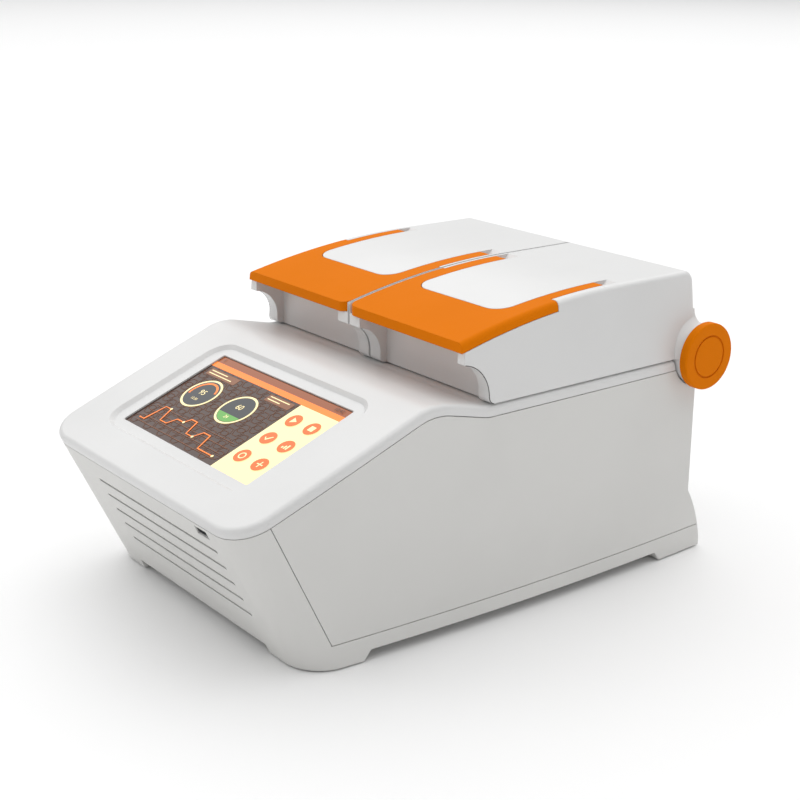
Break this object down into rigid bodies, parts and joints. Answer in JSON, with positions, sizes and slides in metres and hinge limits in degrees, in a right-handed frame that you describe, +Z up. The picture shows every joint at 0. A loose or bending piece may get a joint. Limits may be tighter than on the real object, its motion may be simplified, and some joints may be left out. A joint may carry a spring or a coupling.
{
  "type": "thermal_cycler",
  "caption": "Twin-block thermal cycler with a leaning touch screen and two hinged hot lids with orange lever handles",
  "frame": {"origin": "centre of the space the instrument takes up, on the bench", "axes": "+X to the right as seen from the front, +Y to the rear, +Z up"},
  "size_m": [0.2766, 0.4062, 0.2105],
  "materials": {
    "white_cover": "smooth moulded, light gloss",
    "white_housing": "fine moulded texture",
    "white_lid": "smooth moulded, light gloss",
    "orange_plastic": "smooth moulded, satin",
    "black_rubber": "matte",
    "glass_screen": "clear flat cover glass",
    "black_plastic": "fine texture",
    "grey_plastic": "fine texture",
    "green_board": "solder mask",
    "zinc_steel": "zinc plated sheet",
    "bright_steel": "ground",
    "aluminium": "machined",
    "white_ceramic": "fired ceramic",
    "brass": "plated"
  },
  "bodies": {
    "base": {"base_tray": "white_housing", "block_surround_left": "black_plastic", "block_surround_right": "black_plastic", "chassis_plate": "zinc_steel", "chassis_screws": "zinc_steel", "control_board": "green_board", "display_carrier": "grey_plastic", "display_module": "black_plastic", "fan_frame_left": "black_plastic", "fan_frame_right": "black_plastic", "heat_sink_left": "aluminium", "heat_sink_posts": "zinc_steel", "heat_sink_right": "aluminium", "hinge_block_centre": "grey_plastic", "hinge_block_left": "grey_plastic", "hinge_block_right": "grey_plastic", "inlet_blades": "brass", "latch_striker_left": "zinc_steel", "latch_striker_right": "zinc_steel", "mains_inlet": "black_plastic", "power_supply": "zinc_steel", "rear_panel": "white_housing", "rubber_feet": "black_rubber", "sample_block_left": "aluminium", "sample_block_right": "aluminium", "side_panel_left": "white_housing", "side_panel_right": "white_housing", "switch_body": "black_plastic", "thermoelectric_modules_left": "white_ceramic", "thermoelectric_modules_right": "white_ceramic", "top_cover": "white_cover", "touch_glass": "glass_screen", "usb_port": "bright_steel"},
    "lid_left": {"lid_shell_left": "white_lid", "lid_floor_left": "grey_plastic", "plate_bridge_left": "zinc_steel", "pressure_springs_left": "bright_steel", "handle_pins_left": "bright_steel", "latch_pin_left": "bright_steel", "hinge_pin_outer_left": "bright_steel", "hinge_pin_inner_left": "bright_steel", "hinge_cap_left": "orange_plastic"},
    "lever_left": {"handle_left": "orange_plastic"},
    "latch_left": {"latch_hook_left": "zinc_steel"},
    "plate_left": {"hot_plate_left": "aluminium"},
    "fan_left": {"fan_rotor_left": "black_plastic"},
    "lid_right": {"lid_shell_right": "white_lid", "lid_floor_right": "grey_plastic", "plate_bridge_right": "zinc_steel", "pressure_springs_right": "bright_steel", "handle_pins_right": "bright_steel", "latch_pin_right": "bright_steel", "hinge_pin_outer_right": "bright_steel", "hinge_pin_inner_right": "bright_steel", "hinge_cap_right": "orange_plastic"},
    "lever_right": {"handle_right": "orange_plastic"},
    "latch_right": {"latch_hook_right": "zinc_steel"},
    "plate_right": {"hot_plate_right": "aluminium"},
    "fan_right": {"fan_rotor_right": "black_plastic"},
    "rocker": {"power_rocker": "black_plastic"}
  },
  "joints": [
    {"name": "lid_left_hinge", "type": "hinge", "parent": "base", "child": "lid_left", "pos_m": [-0.105, 0.1791, 0.152], "axis": [-1, 0, 0], "range_deg": [0, 78]},
    {"name": "lever_left_pivot", "type": "hinge", "parent": "lid_left", "child": "lever_left", "pos_m": [-0.06385, 0.09485, 0.20725], "axis": [-1, 0, 0], "range_deg": [0, 12]},
    {"name": "latch_left_pivot", "type": "hinge", "parent": "lid_left", "child": "latch_left", "pos_m": [-0.06385, 0.0036, 0.1763], "axis": [-1, 0, 0], "range_deg": [0, 10]},
    {"name": "plate_left_slide", "type": "slide", "parent": "lid_left", "child": "plate_left", "axis": [0, 0, 1], "range_m": [0, 0.003], "stiffness_N_per_m": 600, "springref_m": -0.003, "deforming": ["pressure_springs_left"]},
    {"name": "fan_left_spin", "type": "hinge", "parent": "base", "child": "fan_left", "pos_m": [-0.06385, 0.1643, 0.088], "axis": [0, 1, 0], "continuous": true},
    {"name": "lid_right_hinge", "type": "hinge", "parent": "base", "child": "lid_right", "pos_m": [0.105, 0.1791, 0.152], "axis": [-1, 0, 0], "range_deg": [0, 78]},
    {"name": "lever_right_pivot", "type": "hinge", "parent": "lid_right", "child": "lever_right", "pos_m": [0.06385, 0.09485, 0.20725], "axis": [-1, 0, 0], "range_deg": [0, 12]},
    {"name": "latch_right_pivot", "type": "hinge", "parent": "lid_right", "child": "latch_right", "pos_m": [0.06385, 0.0036, 0.1763], "axis": [-1, 0, 0], "range_deg": [0, 10]},
    {"name": "plate_right_slide", "type": "slide", "parent": "lid_right", "child": "plate_right", "axis": [0, 0, 1], "range_m": [0, 0.003], "stiffness_N_per_m": 600, "springref_m": -0.003, "deforming": ["pressure_springs_right"]},
    {"name": "fan_right_spin", "type": "hinge", "parent": "base", "child": "fan_right", "pos_m": [0.06385, 0.1643, 0.088], "axis": [0, 1, 0], "continuous": true},
    {"name": "rocker_tip", "type": "hinge", "parent": "base", "child": "rocker", "pos_m": [0.022, 0.1911, 0.032], "axis": [1, 0, 0], "range_deg": [0, 16]}
  ],
  "couplings": [
    {"joint": "latch_left_pivot", "follows": "lever_left_pivot", "ratio": 0.8333},
    {"joint": "latch_right_pivot", "follows": "lever_right_pivot", "ratio": 0.8333}
  ]
}
